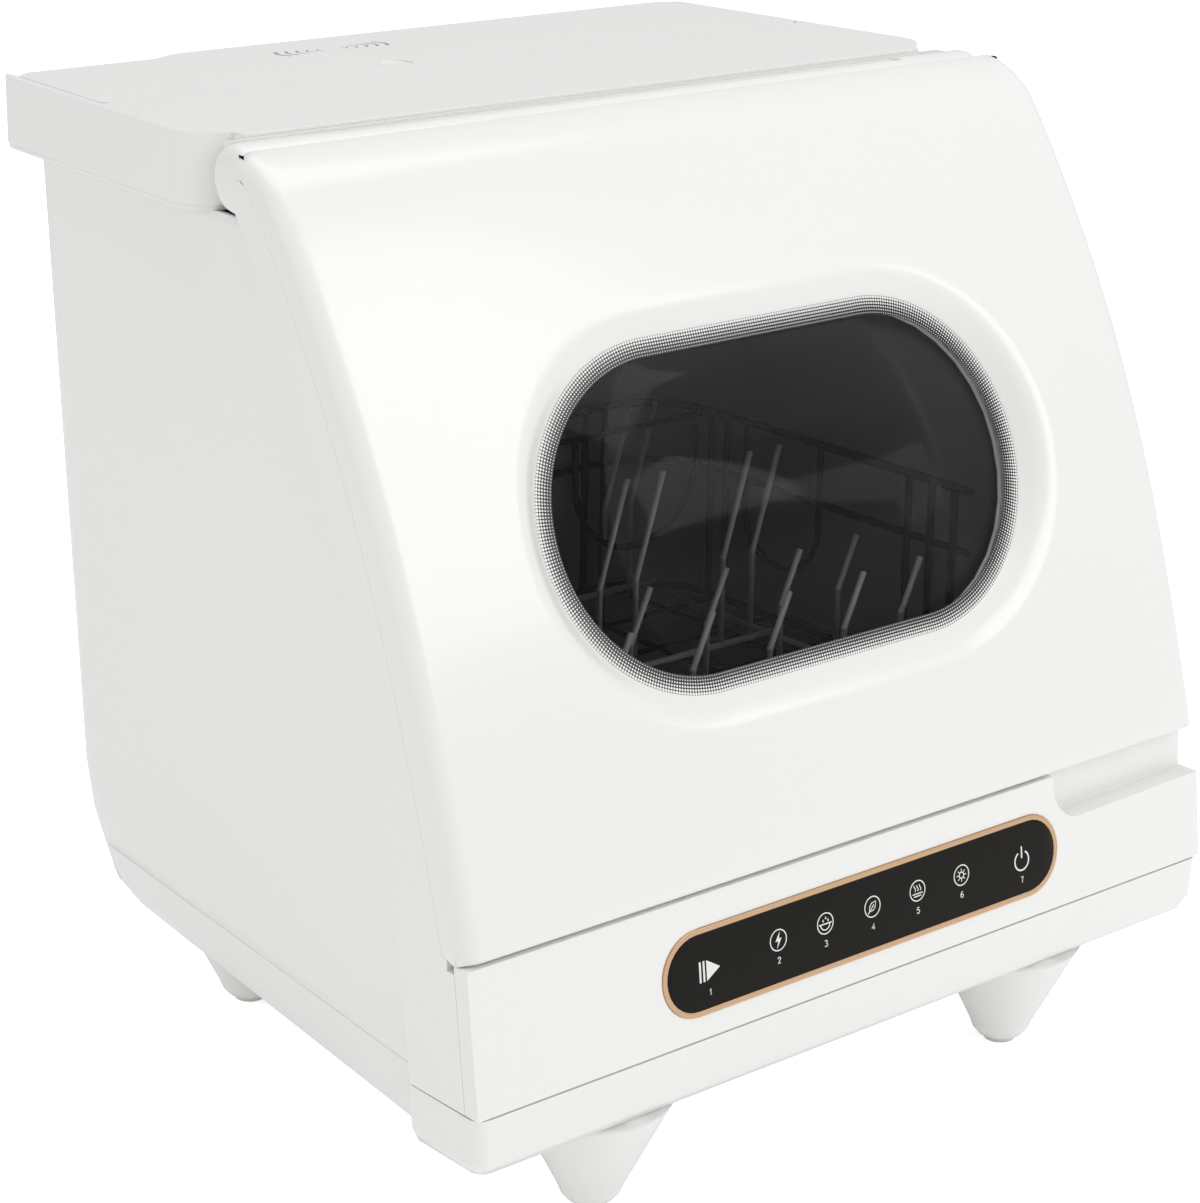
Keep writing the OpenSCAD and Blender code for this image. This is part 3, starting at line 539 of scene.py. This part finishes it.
def stadium_loop(l, h, n):
    """n points at equal spacing round a stadium."""
    half = l - h
    per = 4 * half + 2 * math.pi * h
    pts = []
    for i in range(n):
        d = per * i / n
        if d < 2 * half:
            pts.append((-half + d, -h))
        elif d < 2 * half + math.pi * h:
            a = (d - 2 * half) / h - math.pi / 2
            pts.append((half + h * math.cos(a), h * math.sin(a)))
        elif d < 4 * half + math.pi * h:
            pts.append((half - (d - 2 * half - math.pi * h), h))
        else:
            a = (d - 4 * half - math.pi * h) / h + math.pi / 2
            pts.append((-half + h * math.cos(a), h * math.sin(a)))
    return pts, per


def dotted_ring():
    n = 480
    rows = 6
    rings = []
    base, per = stadium_loop(WIN_L + 4, WIN_H + 4, n)
    # outward normal at each point of the middle line, so that each row keeps its own spacing
    norm = []
    half = WIN_L - WIN_H
    for x, y in base:
        cx = max(-half, min(half, x))
        d = (x - cx, y)
        q = math.hypot(*d)
        norm.append((d[0] / q, d[1] / q))
    for k in range(rows + 1):
        off = -4.0 + 8.0 * k / rows
        rings.append([on_window(x + nx * off, y + ny * off, 7.93) for (x, y), (nx, ny) in zip(base, norm)])
    for off in (4.0, -4.0):
        rings.append([on_window(x + nx * off, y + ny * off, 8.0) for (x, y), (nx, ny) in zip(base, norm)])
    verts, faces = rings_to_mesh(rings)
    dots = round(per / (8.0 / rows))

    def uv(face, vert):
        ring, i = divmod(vert, n)
        u = i
        if face % n == n - 1 and i == 0:
            u = n
        return (u / n * dots, min(ring, rows))

    ob = make("dotted_border", verts, faces, "door", "black_print", replaces=("window_border",), uv=uv, smooth=False)
    return ob


dotted_ring()

# ---------- printed marks ----------
def prism2d(name, polys, place, w0, w1, body, mat):
    """Thin closed plates from flat polygons (lists of (x, v)), set on a surface by place(x, v, w)."""
    verts, faces = [], []
    for poly in polys:
        n = len(poly)
        area = sum(poly[i][0] * poly[(i + 1) % n][1] - poly[(i + 1) % n][0] * poly[i][1] for i in range(n))
        if area < 0:
            poly = poly[::-1]
        o = len(verts)
        verts += [place(x, v, w0) for x, v in poly] + [place(x, v, w1) for x, v in poly]
        faces.append(tuple(o + i for i in range(n - 1, -1, -1)))
        faces.append(tuple(o + n + i for i in range(n)))
        for i in range(n):
            k = (i + 1) % n
            faces.append((o + i, o + k, o + n + k, o + n + i))
    ob = make(name, verts, faces, body, mat, smooth=False)
    fix_normals(ob)
    return ob


def stroke(points, width, closed=False):
    """One polygon of even width along a line of points."""
    n = len(points)
    left, rightp = [], []
    for i, p in enumerate(points):
        if closed:
            a, b = points[(i - 1) % n], points[(i + 1) % n]
        else:
            a, b = points[max(0, i - 1)], points[min(n - 1, i + 1)]
        dx, dy = b[0] - a[0], b[1] - a[1]
        q = math.hypot(dx, dy) or 1
        nx, ny = -dy / q * width / 2, dx / q * width / 2
        left.append((p[0] + nx, p[1] + ny))
        rightp.append((p[0] - nx, p[1] - ny))
    if closed:
        out = []
        for i in range(n):
            k = (i + 1) % n
            out.append([left[i], left[k], rightp[k], rightp[i]])
        return out
    return [left + rightp[::-1]]


def circle_pts(cx, cy, r, a0=0, a1=360, n=36):
    full = abs(a1 - a0) >= 360
    m = n if full else n + 1
    return [(cx + r * math.cos(math.radians(a0 + (a1 - a0) * i / n)), cy + r * math.sin(math.radians(a0 + (a1 - a0) * i / n))) for i in range(m)]


TILT = math.atan2(178.5 - 171.2, 139 - 78.8)


def on_fascia(x, v, w):
    a = math.pi / 2 - TILT
    return Vector((x, -178.5 + v * math.cos(a) - w * math.sin(a), 78.8 + v * math.sin(a) + w * math.cos(a)))


def shifted(polys, x, v, k=1.0):
    return [[(x + k * p[0], v + k * p[1]) for p in q] for q in polys]


DIGITS = {
    "1": [[(-0.55, 0.85), (0.1, 1.45), (0.1, -1.45)]],
    "2": [[(-0.8, 0.8), (-0.65, 1.2), (-0.2, 1.45), (0.3, 1.42), (0.72, 1.1), (0.74, 0.6), (0.45, 0.1), (-0.85, -1.35), (0.85, -1.35)]],
    "3": [[(-0.75, 1.15), (-0.3, 1.45), (0.3, 1.42), (0.7, 1.05), (0.68, 0.5), (0.25, 0.12), (-0.15, 0.08)],
          [(-0.15, 0.08), (0.35, 0.02), (0.8, -0.4), (0.8, -0.95), (0.35, -1.4), (-0.35, -1.42), (-0.85, -1.05)]],
    "4": [[(0.45, -1.45), (0.45, 1.45), (-0.9, -0.6), (0.95, -0.6)]],
    "5": [[(0.75, 1.35), (-0.6, 1.35), (-0.7, 0.15), (-0.1, 0.4), (0.5, 0.25), (0.85, -0.3), (0.8, -0.9), (0.35, -1.4), (-0.35, -1.42), (-0.85, -1.05)]],
    "6": [[(0.6, 1.35), (-0.2, 1.2), (-0.75, 0.5), (-0.88, -0.4), (-0.6, -1.15), (0.0, -1.45), (0.6, -1.2), (0.85, -0.6), (0.6, 0.0), (0.0, 0.2), (-0.6, -0.05), (-0.84, -0.5)]],
    "7": [[(-0.85, 1.35), (0.85, 1.35), (0.2, 0.1), (-0.1, -1.45)]],
}


def digit(d, x, v, k=1.0):
    out = []
    for line in DIGITS[d]:
        out += stroke(line, 0.46)
    return shifted(out, x, v, k)


def icons():
    polys = []
    c = 28.6
    ring = stroke(circle_pts(0, 0, 4.45), 0.5, True)
    # start and pause
    x = -90.0
    polys += [[(x - 5.5, c - 4.4), (x - 4.5, c - 4.4), (x - 4.5, c + 4.4), (x - 5.5, c + 4.4)]]
    polys += [[(x - 3.5, c - 4.4), (x - 2.5, c - 4.4), (x - 2.5, c + 4.4), (x - 3.5, c + 4.4)]]
    polys += [[(x - 1.6, c - 4.4), (x + 5.6, c), (x - 1.6, c + 4.4)]]
    v = c + 2.1
    # lightning
    x = -52.3
    polys += shifted(ring, x, v)
    polys += shifted([[(0.9, 3.5), (-1.7, -0.5), (-0.1, -0.4)], [(-0.1, -0.4), (-0.9, -3.7), (1.8, 0.75), (0.3, 0.55)], [(0.9, 3.5), (-0.1, -0.4), (0.3, 0.55)]], x, v)
    # bowl and drops
    x = -25.9
    polys += shifted(ring, x, v)
    polys += shifted(stroke(circle_pts(0, -0.2, 2.6, 185, 355, 14), 0.5), x, v)
    polys += shifted(stroke([(-3.6, -0.2), (3.6, -0.2)], 0.55), x, v)
    for dx, dy in ((-1.2, 1.2), (0.3, 2.2), (1.6, 1.1)):
        polys += shifted([[(dx, dy + 0.9), (dx - 0.45, dy - 0.2), (dx, dy - 0.5), (dx + 0.45, dy - 0.2)]], x, v)
    # leaf
    x = 1.3
    polys += shifted(ring, x, v)
    leaf = [(-1.9, -1.9), (-1.7, 0.2), (-0.6, 1.6), (1.9, 2.1), (1.6, -0.3), (0.4, -1.6)]
    polys += shifted(stroke(leaf, 0.45, True), x, v)
    polys += shifted(stroke([(-2.7, -2.7), (-0.5, -0.5), (0.8, 0.8)], 0.45), x, v)
    # warm air
    x = 27.9
    polys += shifted(ring, x, v)
    for dx in (-1.6, 0.0, 1.6):
        wave = [(dx + 0.45 * math.sin(q * 1.9), -0.2 + q) for q in [i * 0.35 for i in range(9)]]
        polys += shifted(stroke(wave, 0.4), x, v)
    polys += shifted(stroke([(-3.0, -1.3), (3.0, -1.3)], 0.5), x, v)
    polys += shifted(stroke([(-2.2, -2.4), (2.2, -2.4)], 0.5), x, v)
    # hygiene
    x = 54.5
    polys += shifted(ring, x, v)
    polys += shifted(stroke(circle_pts(0, 0, 1.35, n=20), 0.5, True), x, v)
    for a in range(0, 360, 45):
        ca, sa = math.cos(math.radians(a)), math.sin(math.radians(a))
        polys += shifted(stroke([(1.7 * ca, 1.7 * sa), (2.9 * ca, 2.9 * sa)], 0.4), x, v)
    # power
    x, v = 91.9, c - 0.4
    polys += shifted(stroke(circle_pts(0, -0.6, 4.3, 120, 420, 40), 0.75), x, v)
    polys += shifted(stroke([(0, 0.6), (0, 5.9)], 0.8), x, v)
    for k, (x, dv) in enumerate(((-90, -9.3), (-52.3, -6.6), (-25.9, -6.6), (1.3, -6.6), (27.9, -6.6), (54.5, -6.6), (91.9, -9.6))):
        polys += digit(str(k + 1), x, c + dv, 0.9)
    prism2d("panel_marks", polys, on_fascia, 0.36, 0.44, "cabinet", "mark_white")


icons()


def lid_marks():
    polys = []
    for side in (-1, 1):
        for k in range(5):
            r = 8.3 + 5.2 * k
            half = 2.2 + 0.95 * k
            pts = [(side * (r - 2.6 * (q / 6) ** 2), half * q / 6) for q in range(-6, 7)]
            polys += stroke(pts, 0.7 + 0.28 * k)
    polys = shifted(polys, -37.0, 150.0)
    prism2d("lid_marks", polys, lambda x, v, w: Vector((x, v, 426.0 + w)), -0.12, 0.02, "tank_lid", "mark_grey")


lid_marks()

# ---------- camera, light, floor ----------
cam_data = bpy.data.cameras.new("camera")
cam = bpy.data.objects.new("camera", cam_data)
bpy.context.scene.collection.objects.link(cam)
bpy.context.scene.camera = cam
az, el, roll = math.radians(-40.49), math.radians(18.7), math.radians(1.0)
back_v = Vector((math.sin(az) * math.cos(el), -math.cos(az) * math.cos(el), math.sin(el)))
right = Vector((math.cos(az), math.sin(az), 0.0))
up = back_v.cross(right)
r2 = right * math.cos(roll) + up * math.sin(roll)
u2 = -right * math.sin(roll) + up * math.cos(roll)
rot = Matrix((r2, u2, back_v)).transposed().to_4x4()
cam.matrix_world = Matrix.Translation((-0.88956, -1.04074, 0.65981)) @ rot
cam_data.sensor_width = 36.0
cam_data.lens = 3241.07 / 1203 * 36.0
cam_data.clip_start, cam_data.clip_end = 0.05, 50


def light(name, loc, target, size, power, color=(1, 1, 1), size_y=None):
    d = bpy.data.lights.new(name, "AREA")
    d.energy = power
    d.color = color
    d.size = size
    if size_y:
        d.shape = "RECTANGLE"
        d.size_y = size_y
    o = bpy.data.objects.new(name, d)
    o.location = loc
    o.rotation_mode = "QUATERNION"
    o.rotation_quaternion = (Vector(target) - Vector(loc)).to_track_quat("-Z", "Y")
    bpy.context.scene.collection.objects.link(o)
    return o


light("key", (0.9, -1.9, 1.5), (0, 0, 0.25), 1.5, 15.5)
light("fill_left", (-2.0, -0.3, 0.9), (0, 0, 0.2), 1.6, 4)
light("top", (0.1, 0.1, 2.0), (0, 0, 0.3), 1.6, 9.5)

world = bpy.data.worlds.new("studio")
bpy.context.scene.world = world
world.use_nodes = True
bg = world.node_tree.nodes["Background"]
bg.inputs["Color"].default_value = (1.0, 1.0, 1.0, 1)
bg.inputs["Strength"].default_value = 0.62

fm, fnt, fb = base_mat("floor_pale")
fco = coords(fnt)
fn = node(fnt, "ShaderNodeTexNoise", Scale=3.0, Detail=2.0)
fnt.links.new(fco, fn.inputs["Vector"])
fx = fnt.nodes.new("ShaderNodeMix")
fx.data_type = "RGBA"
fx.inputs["A"].default_value = (0.93, 0.93, 0.93, 1)
fx.inputs["B"].default_value = (0.95, 0.95, 0.95, 1)
fnt.links.new(fn.outputs["Fac"], fx.inputs["Factor"])
fnt.links.new(fx.outputs["Result"], fb.inputs["Base Color"])
fb.inputs["Roughness"].default_value = 0.7
# the sweep under the object is lit to plain white for the camera, and throws some of that light up
lp = fnt.nodes.new("ShaderNodeLightPath")
glow = math_node(fnt, "ADD", math_node(fnt, "MULTIPLY", lp.outputs["Is Camera Ray"], 0.48), 0.11)
fb.inputs["Emission Color"].default_value = (1, 1, 1, 1)
fnt.links.new(glow, fb.inputs["Emission Strength"])
fme = bpy.data.meshes.new("floor")
R = 9.0
fme.from_pydata([(-R, -R, 0), (R, -R, 0), (R, R, 0), (-R, R, 0)], [], [(0, 1, 2, 3)])
fme.materials.append(fm)
floor = bpy.data.objects.new("floor", fme)
bpy.context.scene.collection.objects.link(floor)

bpy.context.scene.view_settings.view_transform = "Standard"
